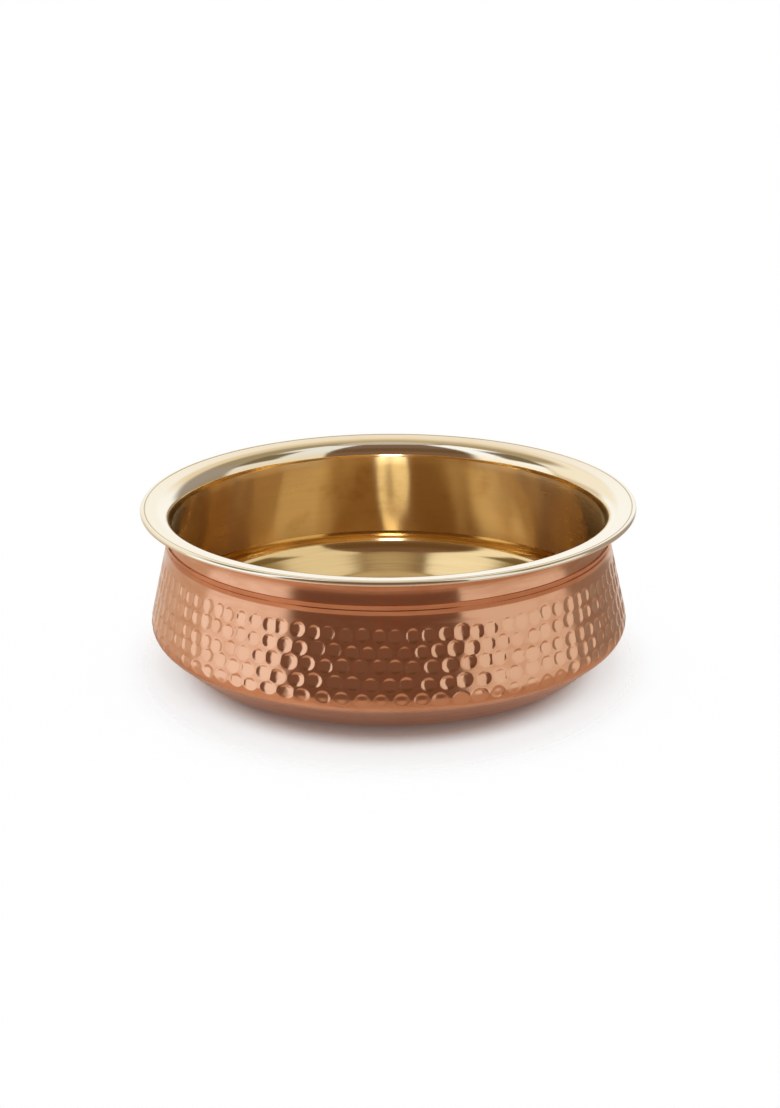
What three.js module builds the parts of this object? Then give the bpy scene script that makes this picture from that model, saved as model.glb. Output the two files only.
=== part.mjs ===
// Hammered copper handi with a brass lining: a wide, low serving pot without lid or handles.
// Two spun sheets stand one inside the other, and the lining's lip is folded round the copper's edge.
// Millimetres, +Z up. The origin is the middle of the flat base, on the table.

import * as THREE from 'three';

const degrees = THREE.MathUtils.degToRad;

// Overall sizes
const RIM_DIAMETER = 190;
const HEIGHT = 63.2;

// Sheets, and the play left between them
const COPPER_SHEET = 0.5;
const BRASS_SHEET = 0.5;
const SHEET_GAP = 0.25;

// Lip: a flat that rises outward to the hem, above a round throat (size on the copper's outside)
const LIP_FLAT = 5.05;
const LIP_RISE = degrees(6);
const THROAT_ROUND = 5.25;

// Hem: its lower leg stops short of the throat, and a seal ring fills the fold
const HEM_SETBACK = 0.5;
const SEAL_WIDTH = 0.8;
const SEAL_GAP = 0.1;

// Copper wall, measured on its outside
const NECK_STRAIGHT = 1.05;
const SHOULDER_ROUND = 12;
const BELLY_BULGE = 8;
const BELLY_HEIGHT = 17.8;
const BELLY_ROUND = 7.3;
const HEEL_SLOPE = degrees(41);
const BASE_ROUND = 18;

// How much rounder the lining is than the copper where the belly meets the heel
const LINING_EASE = 3;

// Raised bead round the neck
const BEAD_DROP = 4.45;
const BEAD_WIDTH = 3.8;
const BEAD_RELIEF = 0.7;

// Hammered zone: rows of dimples laid up from the heel to the strip left plain below the bead
const DIMPLE_PITCH = 6.9;
const DIMPLE_ROW_PITCH = 5.7;
const DIMPLE_DEPTH = 0.4;
const PLAIN_HEEL = 4.2;
const PLAIN_STRIP = 2;

// Fineness of the round stretches
const ROUND_STEP = degrees(24);
const HEM_STEP = degrees(45);
const BEAD_STEPS = 4;

const polar = (centre, radius, angle) =>
  new THREE.Vector2(Math.cos(angle), Math.sin(angle)).multiplyScalar(radius).add(centre);

// Insets of the four faces from the copper's outside
const COPPER_INSIDE = COPPER_SHEET;
const BRASS_OUTSIDE = COPPER_INSIDE + SHEET_GAP;
const BRASS_INSIDE = BRASS_OUTSIDE + BRASS_SHEET;

// Lip frame: u runs outward along the lip and v up through it, from the centre of the hem's fold
const FOLD_INNER = COPPER_SHEET / 2 + SHEET_GAP;
const FOLD_OUTER = FOLD_INNER + BRASS_SHEET;
const foldCentre = new THREE.Vector2(RIM_DIAMETER / 2 - FOLD_OUTER, HEIGHT - FOLD_OUTER);
const lipPoint = (u, v) => new THREE.Vector2(u, v).rotateAround(new THREE.Vector2(), LIP_RISE).add(foldCentre);

// Centres of the rounds, in radius and height
const throat = lipPoint(-LIP_FLAT, -COPPER_SHEET / 2 - THROAT_ROUND);
const neckRadius = throat.x - THROAT_ROUND;
const shoulder = new THREE.Vector2(neckRadius + SHOULDER_ROUND, throat.y - NECK_STRAIGHT);
const belly = new THREE.Vector2(neckRadius + BELLY_BULGE - BELLY_ROUND, BELLY_HEIGHT);

// The straight wall touches the shoulder round from inside and the belly round from outside
const bellyToShoulder = shoulder.clone().sub(belly);
const wallLean = bellyToShoulder.angle()
  - Math.acos((BELLY_ROUND + SHOULDER_ROUND) / bellyToShoulder.length());

// The heel slopes in from the belly round to the base round
const heelAngle = HEEL_SLOPE - Math.PI / 2;
const base = new THREE.Vector2(
  belly.x + (BELLY_ROUND - BASE_ROUND + (BASE_ROUND - belly.y) * Math.cos(HEEL_SLOPE)) / Math.sin(HEEL_SLOPE),
  BASE_ROUND,
);

/**
 * One face of the double wall, from the axis to the foot of the lip's flat, inset from the copper's outside.
 * An ease adds to the radius of the belly round, which still touches the wall and the heel.
 */
function wallFace(inset, ease = 0) {
  const easedBelly = polar(belly, -ease / Math.cos((wallLean - heelAngle) / 2), (wallLean + heelAngle) / 2);
  const face = new THREE.Path();
  face.moveTo(0, inset);
  face.lineTo(base.x, inset);
  face.absarc(base.x, base.y, BASE_ROUND - inset, -Math.PI / 2, heelAngle, false);
  face.absarc(easedBelly.x, easedBelly.y, BELLY_ROUND + ease - inset, heelAngle, wallLean, false);
  face.absarc(shoulder.x, shoulder.y, SHOULDER_ROUND + inset, Math.PI + wallLean, Math.PI, true);
  face.absarc(throat.x, throat.y, THROAT_ROUND + inset, Math.PI, Math.PI / 2 + LIP_RISE, true);
  return face;
}

/** Distances along a face at the ends of its straights and at steps round its arcs. */
function stations(face) {
  const list = [0];
  for (const curve of face.curves) {
    const turn = curve.isEllipseCurve ? Math.abs(curve.aEndAngle - curve.aStartAngle) : 0;
    const steps = Math.max(1, Math.ceil(turn / ROUND_STEP));
    const start = list.at(-1);
    for (let step = 1; step <= steps; step += 1) {
      list.push(start + curve.getLength() * step / steps);
    }
  }
  return list;
}

/** Point of a face at a distance along it, moved outward along the face's normal by a relief. */
function facePoint(face, distance, relief = 0) {
  const share = Math.min(distance / face.getLength(), 1);
  const along = face.getTangent(share);
  return new THREE.Vector2(along.y, -along.x).multiplyScalar(relief).add(face.getPoint(share));
}

/** Outline of one face as plain points. */
function faceOutline(face) {
  return stations(face).map((distance) => facePoint(face, distance));
}

/** Where the bead starts along a copper face, counted down from the top of the neck. */
function beadStart(face) {
  const throatLength = face.curves.at(-1).getLength();
  return face.getLength() - throatLength - BEAD_DROP - BEAD_WIDTH;
}

/** Outline of a copper face above a given distance, with the bead raised on it. */
function beadedOutline(face, from) {
  const start = beadStart(face);
  const end = start + BEAD_WIDTH;
  const plain = stations(face).filter((distance) => distance > from && (distance < start || distance > end));
  const bead = Array.from({ length: BEAD_STEPS + 1 }, (_, step) => start + BEAD_WIDTH * step / BEAD_STEPS);
  const relief = (distance) => BEAD_RELIEF * Math.sin(Math.PI * (distance - start) / BEAD_WIDTH) ** 2;
  return [...plain, ...bead]
    .sort((a, b) => a - b)
    .map((distance) => facePoint(face, distance, bead.includes(distance) ? relief(distance) : 0));
}

/** Arc of the hem about the fold's centre, between two angles in the lip frame. */
function foldArc(radius, from, to) {
  const steps = Math.ceil(Math.abs(to - from) / HEM_STEP);
  return Array.from({ length: steps + 1 }, (_, step) =>
    polar(foldCentre, radius, LIP_RISE + from + (to - from) * step / steps));
}

// Hammering: the dimples of one row set the number of facets round the pot
const DIMPLES_PER_ROW = Math.round(2 * Math.PI * (belly.x + BELLY_ROUND) / DIMPLE_PITCH);
const RIDGE = DIMPLE_ROW_PITCH / 3;

/** Closed surface built up from rings of vertices round the pot's axis. */
class RingSurface {
  positions = [];

  triangles = [];

  /** Add one vertex and return its number. */
  vertex(point, turn) {
    const angle = 2 * Math.PI * turn / DIMPLES_PER_ROW;
    this.positions.push(point.x * Math.cos(angle), point.x * Math.sin(angle), point.y);
    return this.positions.length / 3 - 1;
  }

  /** Add a ring at a point of the profile, turned by a share of one facet. */
  ring(point, turn = 0) {
    return Array.from({ length: DIMPLES_PER_ROW }, (_, index) => this.vertex(point, index + turn));
  }

  /** Join two rings of the same phase with a band of facets. */
  band(lower, upper) {
    lower.forEach((corner, index) => {
      const next = (index + 1) % lower.length;
      this.triangles.push(corner, lower[next], upper[next], corner, upper[next], upper[index]);
    });
  }

  /** Close a ring with a flat disc; facing says whether it looks up (1) or down (-1). */
  disc(ring, height, facing) {
    const centre = this.vertex(new THREE.Vector2(0, height), 0);
    ring.forEach((corner, index) => {
      const next = ring[(index + 1) % ring.length];
      this.triangles.push(centre, ...(facing > 0 ? [corner, next] : [next, corner]));
    });
  }

  geometry() {
    const geometry = new THREE.BufferGeometry();
    geometry.setAttribute('position', new THREE.Float32BufferAttribute(this.positions, 3));
    geometry.setIndex(this.triangles);
    geometry.computeVertexNormals();
    return geometry;
  }
}

/** Raise rows of six-sided dimples on a face, from the ring they start on; returns the ring they end on. */
function hammer(surface, face, start, rows, startRing) {
  const ring = (step, turn) => surface.ring(facePoint(face, start + RIDGE * step), turn);
  let foot = startRing;
  let low = ring(1, 0.5);
  startRing.forEach((corner, index) => {
    surface.triangles.push(corner, startRing[(index + 1) % startRing.length], low[index]);
  });
  for (let row = 0; row < rows; row += 1) {
    const turn = (row % 2) / 2;
    const side = turn === 0 ? 0 : 1;
    const step = 3 * row;
    const middles = surface.ring(facePoint(face, start + RIDGE * (step + 2), -DIMPLE_DEPTH), turn);
    const high = ring(step + 3, 0.5 - turn);
    const crown = ring(step + 4, turn);
    middles.forEach((middle, index) => {
      const right = (index + side) % middles.length;
      const left = (right + middles.length - 1) % middles.length;
      const corners = [foot[index], low[right], high[right], crown[index], high[left], low[left]];
      corners.forEach((corner, k) => surface.triangles.push(middle, corner, corners[(k + 1) % corners.length]));
    });
    foot = high;
    low = crown;
  }
  foot.forEach((corner, index) => {
    const side = rows % 2;
    const crown = low[(index + side) % low.length];
    surface.triangles.push(corner, crown, low[(index + side + low.length - 1) % low.length]);
  });
  return low;
}

/** Hammered copper shell with its neck, bead and the flange that the hem holds. */
function copperShell() {
  const outside = wallFace(0);
  const inside = wallFace(COPPER_INSIDE);
  const surface = new RingSurface();

  const bellyStart = outside.curves.slice(0, 3).reduce((sum, curve) => sum + curve.getLength(), 0);
  const hammerStart = bellyStart + PLAIN_HEEL;
  const hammerRoom = beadStart(outside) - PLAIN_STRIP - hammerStart;
  const rows = Math.floor(hammerRoom / DIMPLE_ROW_PITCH - 1 / 3);
  const hammerEnd = hammerStart + RIDGE * (3 * rows + 1);

  const heel = stations(outside).filter((distance) => distance > 0 && distance < hammerStart);
  const lower = [...heel, hammerStart].map((distance) => surface.ring(facePoint(outside, distance)));
  lower.slice(1).forEach((ring, index) => surface.band(lower[index], ring));
  surface.disc(lower[0], 0, -1);

  const flangeEnd = -SEAL_WIDTH - SEAL_GAP + FOLD_INNER;
  const upperOutline = [
    ...beadedOutline(outside, hammerEnd),
    lipPoint(flangeEnd, -COPPER_SHEET / 2),
    lipPoint(flangeEnd, COPPER_SHEET / 2),
    ...beadedOutline(inside, 0).reverse(),
  ];
  const crown = hammer(surface, outside, hammerStart, rows, lower.at(-1));
  const upper = [crown, ...upperOutline.map((point) => surface.ring(point, ((rows + 1) % 2) / 2))];
  upper.slice(1).forEach((ring, index) => surface.band(upper[index], ring));
  surface.disc(upper.at(-1), COPPER_INSIDE, 1);
  return surface.geometry();
}

/** Solid of revolution from an outline that runs up the outside and back down the inside. */
function revolve(outline) {
  return new THREE.LatheGeometry(outline, DIMPLES_PER_ROW, Math.PI / 2).rotateX(Math.PI / 2);
}

/** Brass lining: floor, wall and lip, with its edge folded under the copper's flange. */
function brassLiner() {
  const legEnd = HEM_SETBACK - LIP_FLAT;
  const outline = [
    ...faceOutline(wallFace(BRASS_OUTSIDE, LINING_EASE)),
    ...foldArc(FOLD_INNER, Math.PI / 2, -Math.PI / 2),
    lipPoint(legEnd, -FOLD_INNER),
    lipPoint(legEnd, -FOLD_OUTER),
    ...foldArc(FOLD_OUTER, -Math.PI / 2, Math.PI / 2),
    ...faceOutline(wallFace(BRASS_INSIDE, LINING_EASE)).reverse(),
  ];
  return revolve(outline);
}

/** Soft-solder ring that fills the fold beyond the copper's edge and keeps water out of the double wall. */
function rimSeal() {
  const inner = FOLD_INNER - SEAL_WIDTH;
  const radius = FOLD_INNER - SEAL_GAP;
  const outline = [
    ...foldArc(radius, -Math.PI / 2, Math.PI / 2),
    lipPoint(inner, radius),
    lipPoint(inner, -radius),
  ];
  return revolve([...outline, outline[0]]);
}

const copper = new THREE.MeshStandardMaterial({ color: 0xc98763, roughness: 0.25, metalness: 1 });
const brass = new THREE.MeshStandardMaterial({ color: 0xd9b878, roughness: 0.18, metalness: 1 });
const solder = new THREE.MeshStandardMaterial({ color: 0xb4b3ad, roughness: 0.45, metalness: 1 });

function piece(name, geometry, material) {
  const mesh = new THREE.Mesh(geometry, material);
  mesh.name = name;
  return mesh;
}

const handi = new THREE.Group();
handi.add(
  piece('copper_shell', copperShell(), copper),
  piece('brass_liner', brassLiner(), brass),
  piece('rim_seal', rimSeal(), solder),
);

export default handi;
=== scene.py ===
import math

import bpy
import numpy as np
from mathutils import Matrix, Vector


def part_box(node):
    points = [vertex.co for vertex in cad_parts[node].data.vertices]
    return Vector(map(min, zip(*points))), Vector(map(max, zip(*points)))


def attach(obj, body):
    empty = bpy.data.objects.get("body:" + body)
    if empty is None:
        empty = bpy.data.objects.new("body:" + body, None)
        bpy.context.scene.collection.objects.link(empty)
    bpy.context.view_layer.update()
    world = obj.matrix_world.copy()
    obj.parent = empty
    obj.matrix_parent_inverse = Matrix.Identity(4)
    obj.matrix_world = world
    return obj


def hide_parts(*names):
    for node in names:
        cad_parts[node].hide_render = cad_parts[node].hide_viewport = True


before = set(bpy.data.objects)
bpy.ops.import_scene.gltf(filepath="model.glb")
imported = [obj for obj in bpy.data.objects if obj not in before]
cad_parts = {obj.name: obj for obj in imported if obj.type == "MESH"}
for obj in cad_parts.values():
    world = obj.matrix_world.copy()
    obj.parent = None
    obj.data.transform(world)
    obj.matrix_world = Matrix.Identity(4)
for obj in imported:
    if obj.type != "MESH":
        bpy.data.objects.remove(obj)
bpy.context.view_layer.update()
RIM_LOW, RIM_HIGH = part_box("brass_liner")

bl_info = {
    "name": "Hammered Copper Handi",
    "version": (1, 0, 0),
    "blender": (4, 5, 0),
    "location": "3D View > Sidebar > Handi",
    "description": "Skins and finishes of a hammered copper serving pot with a brass lining",
    "category": "Add Mesh",
}


def length(label, words, default):
    """A size in metres."""
    return bpy.props.FloatProperty(name=label, description=words, default=default, unit="LENGTH", precision=5)


def angle(label, words, default):
    """An angle, given in degrees."""
    return bpy.props.FloatProperty(name=label, description=words, default=math.radians(default), subtype="ANGLE")


def share(label, words, default):
    """A number from 0 to 1."""
    return bpy.props.FloatProperty(name=label, description=words, default=default, min=0, max=1, subtype="FACTOR")


def colour(label, words, default):
    """A linear colour."""
    return bpy.props.FloatVectorProperty(
        name=label, description=words, default=default, size=3, min=0, max=2, subtype="COLOR")


class HandiSizes(bpy.types.PropertyGroup):
    """Sizes of the two spun sheets, measured on the copper's outside."""

    rim_diameter: length("Rim diameter", "Across the hemmed lip", round(RIM_HIGH.x - RIM_LOW.x, 4))
    height: length("Height", "From the table to the top of the hem", round(RIM_HIGH.z, 4))
    copper_sheet: length("Copper sheet", "Thickness of the shell", 0.0005)
    brass_sheet: length("Brass sheet", "Thickness of the lining", 0.0005)
    sheet_gap: length("Sheet gap", "Play between the two sheets", 0.00025)
    lip_flat: length("Lip flat", "Flat of the lip, from the throat to the fold", 0.00505)
    lip_rise: angle("Lip rise", "How far the lip rises outward", 6)
    throat_round: length("Throat round", "Round between neck and lip", 0.00525)
    hem_setback: length("Hem setback", "How far the hem's lower leg stops short of the throat", 0.0005)
    flange_setback: length("Flange setback", "How far the copper's edge lies inside the fold's centre", 0.0004)
    neck_straight: length("Neck straight", "Upright stretch under the lip", 0.00105)
    shoulder_round: length("Shoulder round", "Round between neck and wall", 0.012)
    belly_bulge: length("Belly bulge", "How far the belly stands out past the neck", 0.008)
    belly_height: length("Belly height", "Height of the widest ring", 0.0178)
    belly_round: length("Belly round", "Round between wall and heel", 0.0073)
    heel_slope: angle("Heel slope", "Slope of the plain heel above the table", 41)
    base_round: length("Base round", "Round between heel and base", 0.018)
    lining_ease: length("Lining ease", "How much rounder the lining is than the shell at the belly", 0.003)
    hem_line: length("Hem line", "Depth of the fine line where the lip breaks into the hem", 0.00012)
    bead_drop: length("Bead drop", "From the top of the neck to the bead, along the wall", 0.0052)
    bead_width: length("Bead width", "Width of the raised bead", 0.0038)
    bead_relief: length("Bead relief", "How far the bead stands proud", 0.00075)


class HandiHammering(bpy.types.PropertyGroup):
    """The hammered belt: rows of dished blows, each row struck by hand round the pot."""

    rows: bpy.props.IntProperty(name="Rows", description="Rows of blows, from the heel up", default=5, min=1)
    lowest_blows: bpy.props.IntProperty(name="Lowest blows", description="Blows in the lowest row", default=82)
    highest_blows: bpy.props.IntProperty(name="Highest blows", description="Blows in the highest row", default=93)
    first_row: length("First row", "From the start of the belly round to the middle of the lowest row", 0.0066)
    row_pitch: length("Row pitch", "From one row to the next", 0.00578)
    lowest_dish: length("Lowest dish", "Height of a dish in the lowest row", 0.0053)
    highest_dish: length("Highest dish", "Height of a dish in the highest row", 0.0056)
    dish_width: share("Dish width", "Width of a dish as a share of its pitch", 0.88)
    dish_depth: length("Dish depth", "Depth of one blow's dish", 0.00039)
    wander: length("Wander", "How far a blow strays from its place", 0.00035)
    seed: bpy.props.IntProperty(name="Seed", description="Start of the scatter of the blows", default=11)


class HandiFinishes(bpy.types.PropertyGroup):
    """Colours and polish of the metals."""

    copper: colour("Copper", "Polished copper", (0.81, 0.46, 0.285))
    copper_deep: colour("Deep copper", "Handled, slightly tarnished copper", (0.66, 0.31, 0.165))
    copper_polish: share("Copper roughness", "Roughness of the hammered belt", 0.08)
    # The lip's brass is paler than bare brass: its paleness is a painted sheen.
    brass: colour("Brass", "Polished brass of the lip", (0.935, 0.875, 0.735))
    brass_gold: colour("Golden brass", "Spun brass inside the bowl", (0.94, 0.72, 0.38))
    # Deep brass: the colour of the tarnish patches, and also of the painted shade on the lining's floor and heel.
    brass_deep: colour("Deep brass", "Brass toned by use", (0.76, 0.52, 0.22))
    # Painted shade: the dark colour of the fine line where the lip breaks into the hem.
    hem_line_shade: colour("Grime", "Polish and tarnish left in the line of the hem", (0.30, 0.23, 0.12))
    lip_polish: share("Lip roughness", "Roughness of the polished lip and throat", 0.07)
    wall_polish: share("Wall roughness", "Roughness of the spun wall of the lining", 0.26)
    floor_polish: share("Bowl floor roughness", "Roughness of the lining's floor and heel", 0.09)
    solder: colour("Solder", "Dull soft solder", (0.52, 0.52, 0.50))


class HandiStage(bpy.types.PropertyGroup):
    """Floor, studio and camera."""

    floor: colour("Floor", "Pale floor", (0.95, 0.95, 0.95))
    floor_lift: share("Floor lift", "Glow that brings the lit floor up to the white background", 0.07)
    softbox: colour("Softbox", "Light of the left softbox", (1.05, 1.10, 1.20))
    second_softbox: colour("Second softbox", "Light of the right softbox", (0.86, 0.86, 0.86))
    studio_gap: colour("Studio gap", "Unlit stretch of the studio between the softboxes", (0.205, 0.128, 0.098))
    backdrop: colour("Backdrop", "Lit backdrop behind the pot", (1.02, 1.02, 1.02))
    table: colour("Table", "Warm table top that the shining metal sees round the floor", (0.55, 0.38, 0.28))
    ceiling: colour("Ceiling", "Light from overhead", (0.58, 0.51, 0.42))
    distance: length("Distance", "From the camera to the middle of the rim", 0.8075)
    rim_angle: angle("Rim angle", "Angle at which the camera sees the rim", 17.37)
    pitch: angle("Pitch", "How far the camera looks down", 18.86)
    roll: angle("Roll", "Turn of the camera about its own axis", -0.30)
    aside: length("Aside", "How far the camera stands to the right of the axis", 0.0006)
    bowl_lamp: bpy.props.FloatProperty(
        name="Bowl lamp", description="Watts of the narrow lamp inside the bowl", default=0.015, min=0)
    lens: bpy.props.FloatProperty(name="Lens", description="Focal length in millimetres", default=68.17)


# Places of some stretches in a run
BELLY, WALL, THROAT, FOLD = 3, 4, 7, 9


def wall_run(sizes, inset, ease=0):
    """Lengths and turns of one face of the double wall, from the axis to the fold of the rim.

    The face is a chain of straights and arcs, each leaving in the direction in which the last one ends: base,
    base round, heel, belly round, wall, shoulder round (turning back), neck, throat round (turning back), lip.
    A face set in from the copper's outside keeps the straights, and its arcs have that much less or more radius.
    An ease adds to the belly round's radius and takes ease tan(turn / 2) off the straights on its two sides.
    """
    half_sheet = sizes.copper_sheet / 2
    fold = half_sheet + sizes.sheet_gap + sizes.brass_sheet
    rise = sizes.lip_rise
    throat_out = sizes.throat_round + half_sheet
    throat_x = sizes.rim_diameter / 2 - fold - sizes.lip_flat * math.cos(rise) + throat_out * math.sin(rise)
    throat_z = sizes.height - fold - sizes.lip_flat * math.sin(rise) - throat_out * math.cos(rise)
    neck = throat_x - sizes.throat_round
    belly = np.array([neck + sizes.belly_bulge - sizes.belly_round, sizes.belly_height])
    across = np.array([neck + sizes.shoulder_round, throat_z - sizes.neck_straight]) - belly
    reach = np.hypot(*across)
    rounds = sizes.belly_round + sizes.shoulder_round
    lean = math.atan2(across[1], across[0]) - math.acos(rounds / reach)
    slope = sizes.heel_slope
    run_in = sizes.belly_round - sizes.base_round + (sizes.base_round - belly[1]) * math.cos(slope)
    base_x = belly[0] + run_in / math.sin(slope)
    heel = (belly[0] - base_x) * math.cos(slope) + (belly[1] - sizes.base_round) * math.sin(slope)
    belly_turn = math.pi / 2 - slope + lean
    throat_turn = math.pi / 2 - rise
    taken = ease * math.tan(belly_turn / 2)
    return np.array([
        (base_x, 0),
        ((sizes.base_round - inset) * slope, slope),
        (heel - taken, 0),
        ((sizes.belly_round + ease - inset) * belly_turn, belly_turn),
        (math.sqrt(reach ** 2 - rounds ** 2) - taken, 0),
        ((sizes.shoulder_round + inset) * lean, -lean),
        (sizes.neck_straight, 0),
        ((sizes.throat_round + inset) * throat_turn, -throat_turn),
        (sizes.lip_flat, 0),
    ])


def along_run(run, inset, distance):
    """Points and outward normals at distances along a run that starts on the axis, heading outward.

    On a stretch of turn T over length L, a point at distance d lies from the stretch's start by the chord
    d sin(t/2) / (t/2) in the direction of the heading plus t/2, where t = T d / L; a straight has t = 0.
    """
    lengths, turns = run.T
    heading = np.cumsum(turns) - turns
    ends = np.cumsum(lengths)

    def chord(start, turn, span):
        middle = start + turn / 2
        return (span * np.sinc(turn / (2 * np.pi)))[:, None] * np.stack([np.cos(middle), np.sin(middle)], 1)

    strides = chord(heading, turns, lengths)
    corners = np.array([0, inset]) + np.cumsum(strides, 0) - strides
    piece = np.minimum(np.searchsorted(ends, distance, side="right"), len(ends) - 1)
    span = distance - (ends - lengths)[piece]
    turn = turns[piece] * span / lengths[piece]
    points = corners[piece] + chord(heading[piece], turn, span)
    facing = heading[piece] + turn
    return points, np.stack([np.sin(facing), -np.cos(facing)], 1)


def steps_along(run, counts):
    """Distances that part each stretch of a run into its count of equal steps, ends included."""
    lengths = run[:, 0]
    starts = np.cumsum(lengths) - lengths
    parts = [start + span * np.arange(1, count + 1) / count for start, span, count in zip(starts, lengths, counts)]
    return np.concatenate([[0], *parts])


def turned(points, columns):
    """Rings of a profile turned about Z: x = r cos a, y = r sin a, z kept, at equal angles a."""
    around = np.arange(columns) * 2 * np.pi / columns
    radius, height = points[..., 0], points[..., 1]
    if points.ndim == 2:
        radius, height = radius[:, None], height[:, None]
    grid = np.broadcast_arrays(radius * np.cos(around), radius * np.sin(around), height)
    return np.stack(grid, -1).reshape(-1, 3)


def band_faces(first, rings, columns):
    """Triangles of a grid of rings: each cell between two rings and two columns is cut once along its diagonal."""
    ring, column = np.meshgrid(np.arange(rings - 1), np.arange(columns), indexing="ij")
    beside = (column + 1) % columns
    low, high = first + ring * columns, first + (ring + 1) * columns
    cells = np.stack([low + column, low + beside, high + beside, low + column, high + beside, high + column], -1)
    return cells.reshape(-1, 3)


def join_faces(coarse, fine, columns, ratio, fine_above):
    """Triangles between a coarse ring and a ring with a whole number of times as many columns.

    They face outward where the fine ring comes after the coarse one, if fine_above, or else before it.
    """
    cell = np.arange(columns)
    here, beside = coarse + cell, coarse + (cell + 1) % columns
    tooth = fine + (cell[:, None] * ratio + np.arange(ratio + 1)) % (columns * ratio)
    middle = ratio // 2
    fans = [np.stack([tooth[:, k], tooth[:, k + 1], here if k < middle else beside], 1) for k in range(ratio)]
    faces = np.concatenate([*fans, np.stack([tooth[:, middle], beside, here], 1)])
    return faces[:, ::-1] if fine_above else faces


def cap_faces(pole, ring, columns, lower):
    """Triangles between a pole and a ring, for the lower or the upper end of a turned surface."""
    column = np.arange(columns)
    here, beside = ring + column, ring + (column + 1) % columns
    fan = np.stack([np.full(columns, pole), here, beside], 1)
    return fan[:, ::-1] if lower else fan


def new_piece(name, points, faces, values, zones=None):
    """Smooth-shaded mesh object at the origin, with one number per vertex for each named value.

    The zones give the number of the finish on each face.
    """
    crease = math.radians(50)
    mesh = bpy.data.meshes.new(name)
    mesh.vertices.add(len(points))
    mesh.vertices.foreach_set("co", np.ascontiguousarray(points, np.float32).ravel())
    mesh.loops.add(faces.size)
    mesh.loops.foreach_set("vertex_index", np.ascontiguousarray(faces, np.int32).ravel())
    mesh.polygons.add(len(faces))
    mesh.polygons.foreach_set("loop_start", np.arange(0, faces.size, 3, dtype=np.int32))
    if zones is not None:
        mesh.polygons.foreach_set("material_index", np.ascontiguousarray(zones, np.int32))
    mesh.update(calc_edges=True)
    mesh.validate()
    mesh.shade_smooth()
    mesh.set_sharp_from_angle(angle=crease)
    for key, numbers in values.items():
        layer = mesh.attributes.new(key, "FLOAT", "POINT")
        layer.data.foreach_set("value", np.ascontiguousarray(numbers, np.float32))
    piece = bpy.data.objects.new(name, mesh)
    bpy.context.scene.collection.objects.link(piece)
    return piece


def blow_depth(hammering, belly_start, distance, radius, columns):
    """Depth of the hammered dishes over the belt, as a grid of distances by columns.

    Each blow leaves a dish of depth D (1 - (u^2 + v^2)^1.5), where u and v are the offsets round and along the
    wall as shares of its half width and half height, so its edge is steeper than its middle. The deepest of the
    dishes that reach a point wins, so two that meet leave a crisp ridge, and a root eases the edge of a dish.
    The blows of a row stray from equal places, and the row itself sways up and down round the pot in a sine.
    Returns the depth, how plain the metal is (1 outside every dish) and a tone of its own for each blow.
    """
    steepness, edge_ease, plain_edge = 1.5, 0.004, 6
    sway, sways, sway_start, stray_up_share = 0.0004, 3, 6.28, 0.8
    depth_range, size_range = (0.8, 1.15), (0.94, 1.06)
    scatter = np.random.default_rng(hammering.seed)
    around = np.arange(columns) * 2 * np.pi / columns
    blows = np.rint(np.linspace(hammering.lowest_blows, hammering.highest_blows, hammering.rows)).astype(int)
    heights = np.linspace(hammering.lowest_dish, hammering.highest_dish, hammering.rows)
    best = np.full((len(distance), columns), -1.0)
    tone = np.full(best.shape, 0.5)
    for row, count in enumerate(blows):
        pitch = 2 * np.pi / count
        phase = scatter.uniform(0, pitch)
        middle = belly_start + hammering.first_row + row * hammering.row_pitch
        row_radius = np.interp(middle, distance, radius)
        stray_round = scatter.normal(0, hammering.wander, count) / row_radius
        stray_up = scatter.normal(0, stray_up_share * hammering.wander, count)
        drift = sway * np.sin(np.arange(count) * 2 * np.pi * sways / count + scatter.uniform(0, sway_start))
        depth = hammering.dish_depth * scatter.uniform(*depth_range, count)
        size = scatter.uniform(*size_range, count)
        blow_tone = scatter.uniform(0, 1, count)
        nearest = np.rint((around - phase) / pitch).astype(int)
        for beside in (-1, 0, 1):
            blow = (nearest + beside) % count
            offset = around - phase - (nearest + beside) * pitch - stray_round[blow]
            half_width = hammering.dish_width * pitch * row_radius / 2 * size[blow]
            half_height = heights[row] / 2 * size[blow]
            u = radius[:, None] * offset / half_width
            v = (distance[:, None] - middle - stray_up[blow] - drift[blow]) / half_height
            dish = depth[blow] / hammering.dish_depth * (1 - (u ** 2 + v ** 2) ** steepness)
            tone = np.where(dish > best, blow_tone[blow], tone)
            best = np.maximum(best, dish)
    sunk = hammering.dish_depth * (best + np.sqrt(best ** 2 + edge_ease)) / 2
    return sunk, np.clip(-plain_edge * best, 0, 1), tone


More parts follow.
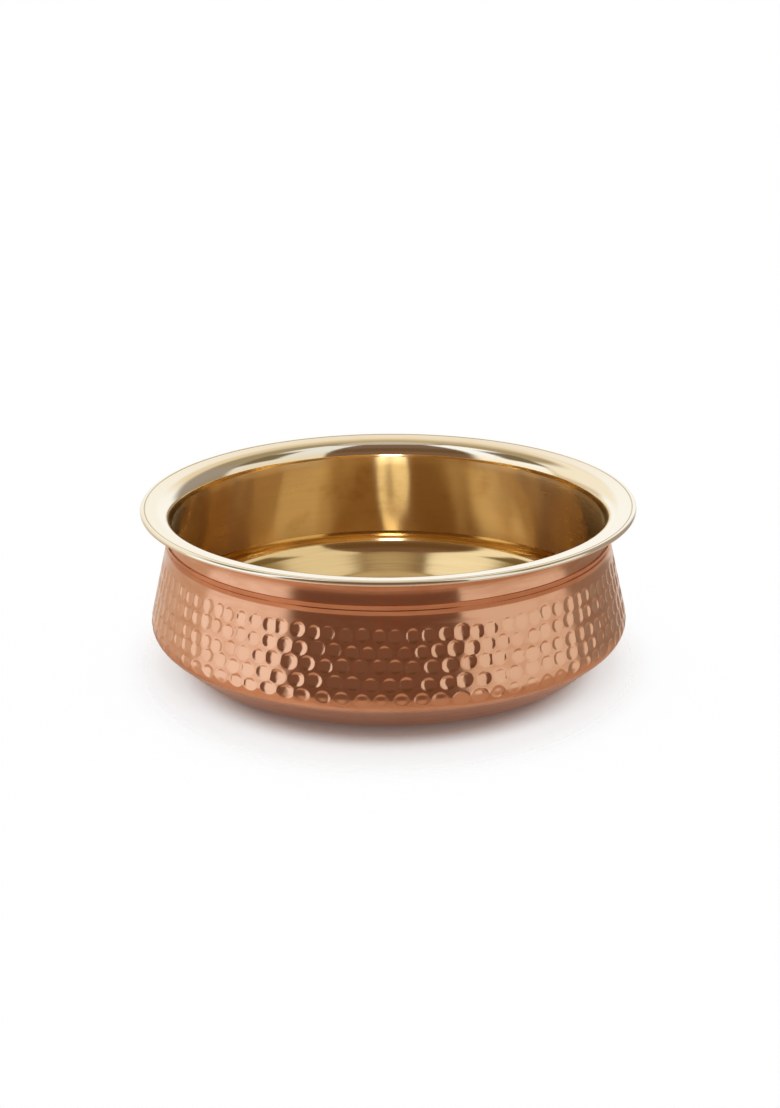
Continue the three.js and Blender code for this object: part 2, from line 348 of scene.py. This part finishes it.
def copper_skin(sizes, hammering):
    """Closed skin of the copper shell: the face of wall_run turned about Z, raised at the bead and sunk by
    blow_depth over the hammered belt; then the edge of its flange and the plain inner face.

    The bead is two steps, each of which grows evenly from its lower edge and falls off sharply at its top: its
    relief runs straight between the heights of swell_high at the shares swell_at of its width. The belt has four
    times as many columns as the rest.
    """
    columns, ratio, belt_rings = 256, 4, 74
    belt_below, belt_above, belt_clearance, hair = 0.0042, 0.0040, 2e-4, 1e-6
    swell_at, swell_high = (0, 0.45, 0.5, 0.95, 1), (0, 0.75, 0.25, 1, 0)
    step_rings = np.concatenate([np.linspace(0, 0.44, 6), (0.445, 0.45, 0.455, 0.475, 0.495)])
    outside = wall_run(sizes, 0)
    outside[-1, 0] -= sizes.flange_setback
    inside = wall_run(sizes, sizes.copper_sheet)
    inside[-1, 0] -= sizes.flange_setback
    starts = np.cumsum(outside[:, 0]) - outside[:, 0]
    belly_start, neck_top = starts[BELLY], starts[THROAT]
    bead_end = neck_top - sizes.bead_drop
    bead = bead_end - sizes.bead_width
    first_row = belly_start + hammering.first_row
    last_row = first_row + (hammering.rows - 1) * hammering.row_pitch
    belt = np.linspace(first_row - belt_below, last_row + belt_above, belt_rings)
    plain = steps_along(outside, (3, 14, 8, 8, 20, 5, 3, 12, 3))
    bead_rings = bead + sizes.bead_width * np.concatenate([step_rings, 0.5 + step_rings, [1]])
    plain = np.concatenate([plain[(plain < bead - hair) | (plain > bead_end + hair)], bead_rings])
    plain.sort()
    below = plain[(plain > 0) & (plain < belt[0] - belt_clearance)]
    above = plain[plain > belt[-1] + belt_clearance]
    back = steps_along(inside, (1, 3, 1, 3, 2, 2, 1, 4, 2))[:0:-1]

    def raised(distance):
        points, normals = along_run(outside, 0, distance)
        across = np.clip((distance - bead) / sizes.bead_width, 0, 1)
        swell = np.interp(across, swell_at, swell_high)
        return points + (sizes.bead_relief * swell)[:, None] * normals

    belt_points, belt_normals = along_run(outside, 0, belt)
    depth, plain_belt, tone = blow_depth(hammering, belly_start, belt, belt_points[:, 0], columns * ratio)
    sunk = belt_points[:, None, :] - depth[..., None] * belt_normals[:, None, :]
    lower_run = turned(raised(below), columns)
    belt_run = turned(sunk, columns * ratio)
    upper_run = turned(raised(above), columns)
    back_run = turned(along_run(inside, sizes.copper_sheet, back)[0], columns)
    points = np.concatenate([[[0, 0, 0]], lower_run, belt_run, upper_run, back_run, [[0, 0, sizes.copper_sheet]]])

    lower_at = 1
    belt_at = lower_at + len(lower_run)
    upper_at = belt_at + len(belt_run)
    top = len(points) - 1
    parts = [
        cap_faces(0, lower_at, columns, True),
        band_faces(lower_at, len(below), columns),
        join_faces(belt_at - columns, belt_at, columns, ratio, True),
        band_faces(belt_at, len(belt), columns * ratio),
        join_faces(upper_at, upper_at - columns * ratio, columns, ratio, False),
        band_faces(upper_at, len(above) + len(back), columns),
        cap_faces(top, top - columns, columns, False),
    ]
    hammered, brushed = 0, 1
    finish_of_part = [brushed, brushed, brushed, hammered, brushed, brushed, brushed]
    zones = np.repeat(finish_of_part, [len(part) for part in parts])

    def spread(rest, over_belt, over_top):
        return np.concatenate([np.full(belt_at, rest), over_belt.ravel(), np.repeat(over_top, columns),
                               np.full(len(back_run) + 1, rest)])

    nothing = np.zeros(len(above))
    crest = np.sin(np.pi * np.clip((above - bead) / sizes.bead_width, 0, 1))
    values = {
        "hollow": spread(0, depth / hammering.dish_depth, nothing),
        "plain": spread(1, plain_belt, nothing + 1),
        "blow": spread(0.5, tone, nothing + 0.5),
        "bead": spread(0, np.zeros(depth.shape), crest),
    }
    return new_piece("copper_shell_skin", points, np.concatenate(parts), values, zones)


def liner_run(sizes, inset):
    """Run of one face of the lining: the wall and lip, the half turn of the fold and the hem's lower leg."""
    fold = inset - sizes.copper_sheet / 2
    hem = [(fold * math.pi, -math.pi), (sizes.lip_flat - sizes.hem_setback, 0)]
    return np.concatenate([wall_run(sizes, inset, sizes.lining_ease), hem])


def brass_skin(sizes):
    """Closed skin of the brass lining: the hidden outer face and the inside of the hem, then back along the hem's
    outside, over the lip and down the inner face to the floor, all turned about Z. The line where the lip breaks
    into the hem is sunk by depth exp(-(d / width)^2), where d is the distance from its middle.
    """
    columns, hair = 600, 1e-6
    line_setback, line_width, line_rings = 0.0006, 0.0002, np.linspace(-2, 2, 9)
    lip_fade = 0.004
    outer_inset = sizes.copper_sheet + sizes.sheet_gap
    inner_inset = outer_inset + sizes.brass_sheet
    hidden, shown = liner_run(sizes, outer_inset), liner_run(sizes, inner_inset)
    out = steps_along(hidden, (1, 3, 1, 3, 2, 2, 1, 4, 2, 8, 1))[1:]
    hem_line = np.sum(shown[:FOLD, 0]) - line_setback
    back = np.concatenate([steps_along(shown, (10, 12, 8, 16, 24, 5, 3, 20, 4, 16, 2))[1:],
                           hem_line + line_width * line_rings])
    back = np.sort(back)[::-1]
    face, into_sheet = along_run(shown, inner_inset, back)
    sink = sizes.hem_line * np.exp(-((back - hem_line) / line_width) ** 2)
    rings = np.concatenate([along_run(hidden, outer_inset, out)[0], face + sink[:, None] * into_sheet])
    points = np.concatenate([[[0, 0, outer_inset]], turned(rings, columns), [[0, 0, inner_inset]]])
    top = len(points) - 1
    faces = np.concatenate([
        cap_faces(0, 1, columns, True),
        band_faces(1, len(rings), columns),
        cap_faces(top, top - columns, columns, False),
    ])
    run = np.concatenate([[0], np.repeat(np.concatenate([out, back]), columns), [0]])
    wall_start, lip_start = np.sum(shown[:WALL, 0]), np.sum(shown[:THROAT, 0])
    lip, wall, floor = 0, 1, 2
    low = run[faces].min(1)
    zones = np.where(low > lip_start - hair, lip, np.where(low > wall_start - hair, wall, floor))
    edge = np.interp(run, [lip_start, lip_start + lip_fade], [0, 1])
    line = np.concatenate([[0], np.repeat(np.concatenate([0 * out, sink / sizes.hem_line]), columns), [0]])
    return new_piece("brass_liner_skin", points, faces, {"lip": edge, "hem_line": line}, zones)


def node(tree, kind, links=None, **settings):
    """Add a node, set its properties, and set or link its inputs by name or number."""
    made = tree.nodes.new(kind)
    for key, value in settings.items():
        setattr(made, key, value)
    for key, value in (links or {}).items():
        socket = made.inputs[key]
        if isinstance(value, bpy.types.NodeSocket):
            tree.links.new(value, socket)
        else:
            socket.default_value = value
    return made


def maths(tree, operation, *values):
    """Output of a Math node."""
    return node(tree, "ShaderNodeMath", dict(enumerate(values)), operation=operation).outputs[0]


def mixed(tree, first, *parts):
    """Sum of a first value and of values times weights."""
    for value, weight in parts:
        first = node(tree, "ShaderNodeMath", {0: value, 1: weight, 2: first}, operation="MULTIPLY_ADD").outputs[0]
    return first


def ramp(tree, value, low, high, to_low=0.0, to_high=1.0):
    """Value carried smoothly from one range to another, clamped."""
    ends = {"From Min": low, "From Max": high, "To Min": to_low, "To Max": to_high}
    made = node(tree, "ShaderNodeMapRange", {"Value": value, **ends}, interpolation_type="SMOOTHSTEP")
    return made.outputs["Result"]


def noise(tree, place, scale, detail, **more):
    """Output of a Noise Texture; the other inputs go by their names, and a W gives it a fourth dimension."""
    inputs = {"Vector": place, "Scale": scale, "Detail": detail, **more}
    return node(tree, "ShaderNodeTexNoise", inputs, noise_dimensions="4D" if "W" in more else "3D").outputs[0]


def blend(tree, factor, first, second):
    """Colour between two colours."""
    made = node(tree, "ShaderNodeMix", data_type="RGBA")
    for socket, value in ((made.inputs[0], factor), (made.inputs[6], first), (made.inputs[7], second)):
        if isinstance(value, bpy.types.NodeSocket):
            tree.links.new(value, socket)
        else:
            socket.default_value = value if isinstance(value, float) else (*value, 1)
    return made.outputs[2]


def stretched(tree, scale):
    """Place on the object, with each axis scaled."""
    place = node(tree, "ShaderNodeTexCoord").outputs["Object"]
    return node(tree, "ShaderNodeVectorMath", {0: place, 1: scale}, operation="MULTIPLY").outputs[0]


def group_tree(name, inputs, outputs):
    """Empty node group with named number inputs and outputs; returns it and its two end nodes."""
    tree = bpy.data.node_groups.new(name, "ShaderNodeTree")
    for label, default in inputs.items():
        socket = tree.interface.new_socket(name=label, in_out="INPUT", socket_type="NodeSocketFloat")
        socket.default_value = default
    for label in outputs:
        tree.interface.new_socket(name=label, in_out="OUTPUT", socket_type="NodeSocketFloat")
    return tree, tree.nodes.new("NodeGroupInput"), tree.nodes.new("NodeGroupOutput")


def spin_lines_group():
    """Rings left by the spinning tool: noise that changes fast along the profile and slowly round the axis."""
    if "spin_lines" in bpy.data.node_groups:
        return bpy.data.node_groups["spin_lines"]
    tree, start, end = group_tree("spin_lines", {"Rings per metre": 700.0, "Break-up": 3.0}, ("Lines",))
    place = node(tree, "ShaderNodeTexCoord").outputs["Object"]
    apart = node(tree, "ShaderNodeSeparateXYZ", {0: place})
    level = node(tree, "ShaderNodeCombineXYZ", {0: apart.outputs[0], 1: apart.outputs[1]}).outputs[0]
    radius = node(tree, "ShaderNodeVectorMath", {0: level}, operation="LENGTH").outputs["Value"]
    around = node(tree, "ShaderNodeVectorMath", {0: level}, operation="NORMALIZE").outputs[0]
    turning = {0: around, "Scale": start.outputs["Break-up"]}
    around = node(tree, "ShaderNodeVectorMath", turning, operation="SCALE").outputs[0]
    along = maths(tree, "MULTIPLY", maths(tree, "ADD", radius, apart.outputs[2]), start.outputs["Rings per metre"])
    tree.links.new(noise(tree, around, 1.0, 2.0, W=along, Roughness=0.6), end.inputs["Lines"])
    return tree


def tarnish_group():
    """Cloudy toning: two sizes of soft noise, turned into a mask of patches."""
    if "tarnish" in bpy.data.node_groups:
        return bpy.data.node_groups["tarnish"]
    tree, start, end = group_tree("tarnish", {"Patches per metre": 22.0, "Cover": 0.5}, ("Patches", "Cloud"))
    place = node(tree, "ShaderNodeTexCoord").outputs["Object"]
    broad = noise(tree, place, start.outputs["Patches per metre"], 4.0, Roughness=0.55, Distortion=0.4)
    small = maths(tree, "MULTIPLY", start.outputs["Patches per metre"], 7.0)
    speckle = noise(tree, place, small, 3.0, Roughness=0.6)
    cloud = mixed(tree, 0.0, (broad, 0.7), (speckle, 0.3))
    low = maths(tree, "SUBTRACT", 0.72, maths(tree, "MULTIPLY", start.outputs["Cover"], 0.4))
    patches = ramp(tree, cloud, low, maths(tree, "ADD", low, 0.16))
    tree.links.new(patches, end.inputs["Patches"])
    tree.links.new(cloud, end.inputs["Cloud"])
    return tree


def hairline_group():
    """Sparse hair scratches: noise drawn out in two slanting directions, of which only the crests are kept."""
    if "hairlines" in bpy.data.node_groups:
        return bpy.data.node_groups["hairlines"]
    tree, start, end = group_tree("hairlines", {"Scratches per metre": 260.0}, ("Scratches",))
    place = node(tree, "ShaderNodeTexCoord").outputs["Object"]
    crests = []
    for turn, squeeze in (((0.5, 0.2, 0.9), (1.0, 0.06, 0.06)), ((-0.7, 0.9, 0.3), (0.06, 0.06, 1.0))):
        slanted = node(tree, "ShaderNodeMapping", {"Vector": place, "Rotation": turn, "Scale": squeeze}).outputs[0]
        grain = noise(tree, slanted, start.outputs["Scratches per metre"], 1.0)
        crests.append(ramp(tree, grain, 0.70, 0.78))
    tree.links.new(maths(tree, "MAXIMUM", *crests), end.inputs["Scratches"])
    return tree


def effect(tree, group, inputs):
    """Outputs of a shared effect."""
    return node(tree, "ShaderNodeGroup", inputs, node_tree=group).outputs


def new_material(name):
    """Material with an empty node tree; returns it, its tree and its shader."""
    material = bpy.data.materials.new(name)
    material.use_nodes = True
    tree = material.node_tree
    tree.nodes.clear()
    shader = node(tree, "ShaderNodeBsdfPrincipled")
    node(tree, "ShaderNodeOutputMaterial", {"Surface": shader.outputs[0]})
    return material, tree, shader


def attribute(tree, name):
    """A number that the mesh carries."""
    return node(tree, "ShaderNodeAttribute", attribute_name=name).outputs["Fac"]


def finish_metal(tree, shader, base, rough, height, relief, anisotropy=0.0, strength=1.0):
    """Link a bare metal's colour, roughness and fine relief, and draw its gloss out across the spinning lines."""
    bump = node(tree, "ShaderNodeBump", {"Height": height, "Distance": relief, "Strength": strength})
    for label, value in (("Base Color", base), ("Roughness", rough), ("Normal", bump.outputs[0])):
        tree.links.new(value, shader.inputs[label])
    for label, value in (("Metallic", 1.0), ("Anisotropic", anisotropy), ("Anisotropic Rotation", 0.25)):
        shader.inputs[label].default_value = value


def copper_finish(finishes, name, anisotropy=0.0):
    """Copper: hollows painted a little lighter, a painted sheen, a tone of its own for each blow on the belt, and
    brushed rings on the plain bands.
    """
    material, tree, shader = new_material(name)
    lines = effect(tree, spin_lines_group(), {"Rings per metre": 330.0, "Break-up": 5.0})["Lines"]
    tarnish = effect(tree, tarnish_group(), {"Patches per metre": 26.0, "Cover": 0.45})
    scratch = effect(tree, hairline_group(), {"Scratches per metre": 300.0})["Scratches"]
    hollow, plain, blow, bead = (attribute(tree, name) for name in ("hollow", "plain", "blow", "bead"))
    cloud = tarnish["Cloud"]
    brushed = maths(tree, "MULTIPLY", ramp(tree, lines, 0.35, 0.65), plain)
    # Painted sheen: the negative weight on the hollow paints the insides of the dishes a little lighter.
    tone_and_painted_light = mixed(tree, 0.0, (tarnish["Patches"], 0.25), (ramp(tree, hollow, 0.2, 1.0), -0.10), (blow, 0.25),
                  (brushed, 0.4), (plain, 0.2), (bead, 0.2))
    base = blend(tree, tone_and_painted_light, finishes.copper, finishes.copper_deep)
    rough = mixed(tree, finishes.copper_polish, (plain, 0.02), (brushed, 0.04), (cloud, 0.04), (scratch, 0.06),
                  (blow, 0.03))
    rings = maths(tree, "MULTIPLY", lines, plain)
    height = mixed(tree, 0.0, (rings, 0.8), (cloud, 0.5), (scratch, -0.15))
    finish_metal(tree, shader, base, rough, height, relief=0.00003, anisotropy=anisotropy)
    return material


def brass_finish(finishes, name, polish, ringing, cover, anisotropy=0.0, painted_shade=0.0, waves=0.0):
    """Brass: polished, ringed by spinning, toned in soft patches, deepened all over by a given amount of painted
    shade, and slightly wavy where it was spun thin.

    The waves are upright: they are drawn out along the pot's axis.
    """
    material, tree, shader = new_material(name)
    lines = effect(tree, spin_lines_group(), {"Rings per metre": 750.0, "Break-up": 2.5})["Lines"]
    tarnish = effect(tree, tarnish_group(), {"Patches per metre": 18.0, "Cover": 0.4})
    scratch = effect(tree, hairline_group(), {"Scratches per metre": 240.0})["Scratches"]
    cloud = tarnish["Cloud"]
    ringed = ramp(tree, lines, 0.35, 0.65)
    inside = maths(tree, "SUBTRACT", 1.0, attribute(tree, "lip"))
    rings_inside = maths(tree, "MULTIPLY", ringed, inside)
    # A given amount of painted shade is added to the tarnish and the rings.
    tone_and_painted_light = mixed(tree, painted_shade, (tarnish["Patches"], cover), (rings_inside, 0.12))
    # The lip is painted paler than the golden inside, a painted sheen.
    lip_sheen_and_gold = blend(tree, inside, finishes.brass, finishes.brass_gold)
    worn = blend(tree, tone_and_painted_light, lip_sheen_and_gold, finishes.brass_deep)
    line = attribute(tree, "hem_line")
    # Painted shade: the fine line of the hem is painted dark, more in some places than in others.
    hem_line_shade = maths(tree, "MULTIPLY", line, ramp(tree, cloud, 0.3, 0.6, 0.55, 0.9))
    base = blend(tree, hem_line_shade, worn, finishes.hem_line_shade)
    rough = mixed(tree, polish, (ringed, 0.06 * ringing), (cloud, 0.03), (scratch, 0.05), (line, 0.2))
    upright = stretched(tree, (1.0, 1.0, 0.3))
    waves_per_metre = 40.0
    wavy = noise(tree, upright, waves_per_metre, 1.0)
    height = mixed(tree, 0.0, (lines, ringing), (cloud, 0.4), (scratch, -0.10), (wavy, waves))
    finish_metal(tree, shader, base, rough, height, relief=0.00002, anisotropy=anisotropy)
    return material


def solder_finish(finishes):
    """Soft solder: dull grey, mottled where it froze."""
    material, tree, shader = new_material("soft_solder")
    tarnish = effect(tree, tarnish_group(), {"Patches per metre": 220.0, "Cover": 0.6})
    dark = tuple(0.6 * part for part in finishes.solder)
    base = blend(tree, tarnish["Patches"], finishes.solder, dark)
    rough = ramp(tree, tarnish["Cloud"], 0.2, 0.8, 0.38, 0.6)
    finish_metal(tree, shader, base, rough, tarnish["Cloud"], relief=0.0001, strength=0.6)
    return material


def floor_finish(stage):
    """Pale floor with a faint unevenness, lifted to the white of the background.

    It thins out away from the pot, in three steps for the eye and in one for what the metal reflects, which then
    sees the table of the studio. The thinning is oval: it starts nearer the pot at its sides.
    """
    fades = ((0.079, 0.099, 0.6), (0.10, 0.125, 0.35), (0.25, 0.40, 0.05))
    reflected_fade = (0.085, 0.105)
    material, tree, shader = new_material("pale_floor")
    place = node(tree, "ShaderNodeTexCoord").outputs["Object"]
    grain = noise(tree, place, 3.0, 3.0)
    pale = tuple(0.99 * part for part in stage.floor)
    tree.links.new(blend(tree, grain, stage.floor, pale), shader.inputs["Base Color"])
    shader.inputs["Roughness"].default_value = 1.0
    shader.inputs["Specular IOR Level"].default_value = 0.0
    path = node(tree, "ShaderNodeLightPath")
    seen = maths(tree, "MAXIMUM", path.outputs["Is Camera Ray"], path.outputs["Is Glossy Ray"])
    seen = maths(tree, "MAXIMUM", seen, path.outputs["Is Transmission Ray"])
    glow = node(tree, "ShaderNodeEmission", {"Strength": maths(tree, "MULTIPLY", seen, stage.floor_lift)})
    both = node(tree, "ShaderNodeAddShader", {0: shader.outputs[0], 1: glow.outputs[0]})
    oval = stretched(tree, (1.16, 1.0, 1.0))
    radius = node(tree, "ShaderNodeVectorMath", {0: oval}, operation="LENGTH").outputs["Value"]
    thinned = mixed(tree, 0.0, *[(ramp(tree, radius, near, far), weight) for near, far, weight in fades])
    reflected = maths(tree, "MULTIPLY", ramp(tree, radius, *reflected_fade), path.outputs["Is Glossy Ray"])
    thinned = maths(tree, "MAXIMUM", thinned, reflected)
    clear = node(tree, "ShaderNodeBsdfTransparent")
    soft = node(tree, "ShaderNodeMixShader", {0: thinned, 1: both.outputs[0], 2: clear.outputs[0]})
    tree.links.new(soft.outputs[0], tree.nodes["Material Output"].inputs["Surface"])
    return material


def studio(stage):
    """White world; what shines also sees the softboxes, the unlit gap between them, the ceiling and the table.

    Directions are read as an azimuth from the camera's side, growing to the right, and an elevation, in degrees.
    A panel lies over the panels before it. Its ranges give two ends and the softness of each.
    """
    world = bpy.data.worlds.new("studio")
    bpy.context.scene.world = world
    world.use_nodes = True
    world.cycles.sampling_method = "NONE"
    tree = world.node_tree
    tree.nodes.clear()
    apart = node(tree, "ShaderNodeSeparateXYZ", {0: node(tree, "ShaderNodeTexCoord").outputs["Generated"]})
    turn = maths(tree, "ARCTAN2", apart.outputs[0], maths(tree, "MULTIPLY", apart.outputs[1], -1.0))
    azimuth = maths(tree, "DEGREES", turn)
    elevation = maths(tree, "DEGREES", maths(tree, "ARCSINE", apart.outputs[2]))

    def window(value, low, high, low_edge, high_edge):
        rise = ramp(tree, value, low - low_edge, low + low_edge)
        fall = ramp(tree, value, high - high_edge, high + high_edge, 1.0, 0.0)
        return maths(tree, "MULTIPLY", rise, fall)

    low_wall, warm_wall, high_wall = (0.8, 0.78, 0.74), (0.84, 0.69, 0.49), (0.50, 0.41, 0.27)
    sky = blend(tree, ramp(tree, elevation, -2.0, 4.0), low_wall, stage.backdrop)
    sky = blend(tree, ramp(tree, elevation, 18.0, 34.0), sky, warm_wall)
    sky = blend(tree, ramp(tree, elevation, 34.0, 70.0), sky, high_wall)
    all_round, to_ceiling, over_flanks = (-999, 999, 1, 1), (-90, 76.5, 1, 1), (42, 76.5, 5, 1)
    right_flank, left_flank, gap = (97, 150, 5, 8), (-150, -100, 8, 5), (-49.5, 35.5, 4, 0.6)
    box_top, stand_top, below = (30, 58, 4, 5), (-90, 24, 1, 10), (-999, -19.5, 1, 4)
    dark_top, stand = (0.20, 0.15, 0.08), (0.25, 0.115, 0.07)
    panels = (
        ((0.36, 0.31, 0.27), right_flank, to_ceiling),  # dim walls past the two softboxes
        ((0.36, 0.29, 0.18), right_flank, over_flanks),
        ((0.72, 0.63, 0.54), left_flank, to_ceiling),
        ((0.42, 0.33, 0.20), left_flank, over_flanks),
        ((0.96, 0.89, 0.76), (-175, -105, 8, 5), (12, 42, 5, 5)),  # lit wall behind, at the left
        (stage.second_softbox, (35.5, 97, 0.6, 4), to_ceiling),
        (stage.softbox, (-100, -49.5, 4, 4), to_ceiling),
        (dark_top, (68, 100, 4, 4), box_top),  # dark corners over the softboxes
        (dark_top, (-104, -72, 4, 4), box_top),
        (stage.studio_gap, gap, to_ceiling),
        ((0.15, 0.09, 0.045), gap, (24, 50, 8, 8)),  # darkest height of the gap
        (stand, (-5.7, -3.3, 1, 1), stand_top),  # two lamp stands in the gap
        (stand, (3.3, 5.7, 1, 1), stand_top),
        ((0.25, 0.2, 0.15), (-120, 120, 20, 20), (76, 78, 0.6, 0.6)),  # dark edge of the ceiling
        (stage.ceiling, all_round, (78, 999, 1, 1)),
        (stage.table, all_round, below),
        ((0.72, 0.52, 0.40), (-120, -45, 12, 12), below),  # table lit by the left softbox
    )
    for light, sides, heights in panels:
        mask = maths(tree, "MULTIPLY", window(azimuth, *sides), window(elevation, *heights))
        sky = blend(tree, mask, sky, light)
    path = node(tree, "ShaderNodeLightPath")
    seen = maths(tree, "MAXIMUM", path.outputs["Is Camera Ray"], path.outputs["Is Transmission Ray"])
    above = maths(tree, "MAXIMUM", apart.outputs[2], 0.0)
    overhead = maths(tree, "MULTIPLY", maths(tree, "POWER", above, 3.0), 2.5)
    sky = blend(tree, path.outputs["Is Diffuse Ray"], sky, overhead)
    white = (1.0, 1.0, 1.0)
    light = blend(tree, seen, sky, white)
    back = node(tree, "ShaderNodeBackground", {"Color": light, "Strength": 1.0})
    node(tree, "ShaderNodeOutputWorld", {"Surface": back.outputs[0]})


def bowl_lamp(stage):
    """Narrow lamp close to the front wall of the bowl, itself unseen, that draws a bright bar on the far wall."""
    cool, place = (0.80, 0.93, 1.0), (-0.0031, -0.074, 0.042)
    lamp = bpy.data.lights.new("bowl_lamp", "AREA")
    lamp.shape = "RECTANGLE"
    lamp.size, lamp.size_y = 0.021, 0.03
    lamp.energy = stage.bowl_lamp
    lamp.color = cool
    lamp.cycles.max_bounces = 0
    holder = bpy.data.objects.new("bowl_lamp", lamp)
    holder.matrix_world = Matrix.Translation(place) @ Matrix.Rotation(math.pi / 2, 4, "X")
    holder.visible_camera = False
    bpy.context.scene.collection.objects.link(holder)


def set_finish(piece, *materials):
    """Give a piece its materials, one for each zone; a frame piece loses the plain one that it came with."""
    if piece.data.materials:
        piece.data.materials.clear()
    for material in materials:
        piece.data.materials.append(material)


class HANDI_OT_copper_shell(bpy.types.Operator):
    """Make the hammered copper shell."""

    bl_idname = "handi.copper_shell"
    bl_label = "Copper Shell"

    def execute(self, context):
        scene = context.scene
        shell = copper_skin(scene.handi_sizes, scene.handi_hammering)
        finishes = scene.handi_finishes
        hammered = copper_finish(finishes, "hammered_copper")
        brushed = copper_finish(finishes, "brushed_copper", anisotropy=0.6)
        set_finish(shell, hammered, brushed)
        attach(shell, "root")
        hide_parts("copper_shell")
        return {"FINISHED"}


class HANDI_OT_brass_liner(bpy.types.Operator):
    """Make the spun brass lining with its hemmed lip."""

    bl_idname = "handi.brass_liner"
    bl_label = "Brass Lining"

    def execute(self, context):
        scene = context.scene
        liner = brass_skin(scene.handi_sizes)
        finishes = scene.handi_finishes
        lip = brass_finish(finishes, "polished_brass", finishes.lip_polish, ringing=0.25, cover=0.12)
        wall = brass_finish(finishes, "spun_brass", finishes.wall_polish, ringing=0.3, cover=0.8,
                            anisotropy=1.0, waves=120.0)
        # The lining's floor and heel are deepened by painted shade.
        floor = brass_finish(finishes, "turned_brass", finishes.floor_polish, ringing=0.45, cover=0.2,
                             anisotropy=0.3, painted_shade=0.45)
        set_finish(liner, lip, wall, floor)
        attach(liner, "root")
        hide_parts("brass_liner")
        return {"FINISHED"}


class HANDI_OT_rim_seal(bpy.types.Operator):
    """Finish the solder ring in the fold of the rim."""

    bl_idname = "handi.rim_seal"
    bl_label = "Rim Seal"

    def execute(self, context):
        set_finish(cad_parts["rim_seal"], solder_finish(context.scene.handi_finishes))
        return {"FINISHED"}


class HANDI_OT_stage(bpy.types.Operator):
    """Set up the floor, the studio light and the camera."""

    bl_idname = "handi.stage"
    bl_label = "Stage"

    def execute(self, context):
        scene, stage = context.scene, context.scene.handi_stage
        columns, radius, drop = 96, 0.5, 0.0001
        edge = turned(np.array([[radius, -drop]]), columns)
        points = np.concatenate([[[0, 0, -drop]], edge])
        floor = new_piece("floor", points, cap_faces(0, 1, columns, False), {})
        set_finish(floor, floor_finish(stage))
        studio(stage)
        bowl_lamp(stage)
        camera = bpy.data.objects.new("camera", bpy.data.cameras.new("camera"))
        camera.data.sensor_width = 36
        camera.data.lens = stage.lens
        camera.data.clip_end = 50
        place = (stage.aside, -stage.distance * math.cos(stage.rim_angle),
                 scene.handi_sizes.height + stage.distance * math.sin(stage.rim_angle))
        tilt = Matrix.Rotation(math.pi / 2 - stage.pitch, 4, "X")
        camera.matrix_world = Matrix.Translation(place) @ tilt @ Matrix.Rotation(stage.roll, 4, "Z")
        scene.collection.objects.link(camera)
        scene.camera = camera
        scene.view_settings.view_transform = "Standard"
        return {"FINISHED"}


class HANDI_PT_sidebar(bpy.types.Panel):
    """Sizes, hammering, finishes and stage of the handi, with a button for each piece."""

    bl_idname = "HANDI_PT_sidebar"
    bl_label = "Copper Handi"
    bl_space_type = "VIEW_3D"
    bl_region_type = "UI"
    bl_category = "Handi"

    def draw(self, context):
        scene = context.scene
        for title, settings in (("Sizes", scene.handi_sizes), ("Hammering", scene.handi_hammering),
                                ("Finishes", scene.handi_finishes), ("Stage", scene.handi_stage)):
            box = self.layout.box()
            box.label(text=title)
            for key in settings.__annotations__:
                box.prop(settings, key)
        for operator in OPERATORS:
            self.layout.operator(operator.bl_idname)


SETTINGS = {"handi_sizes": HandiSizes, "handi_hammering": HandiHammering,
            "handi_finishes": HandiFinishes, "handi_stage": HandiStage}
OPERATORS = (HANDI_OT_copper_shell, HANDI_OT_brass_liner, HANDI_OT_rim_seal, HANDI_OT_stage)


def register():
    """Register the settings, the operators and the sidebar panel."""
    for key, settings in SETTINGS.items():
        bpy.utils.register_class(settings)
        setattr(bpy.types.Scene, key, bpy.props.PointerProperty(type=settings))
    for operator in (*OPERATORS, HANDI_PT_sidebar):
        bpy.utils.register_class(operator)


def unregister():
    """Remove what register added."""
    for operator in (HANDI_PT_sidebar, *reversed(OPERATORS)):
        bpy.utils.unregister_class(operator)
    for key, settings in reversed(SETTINGS.items()):
        delattr(bpy.types.Scene, key)
        bpy.utils.unregister_class(settings)


def main():
    """Build the handi and its stage."""
    register()
    bpy.ops.handi.copper_shell()
    bpy.ops.handi.brass_liner()
    bpy.ops.handi.rim_seal()
    bpy.ops.handi.stage()


if __name__ == "__main__":
    main()
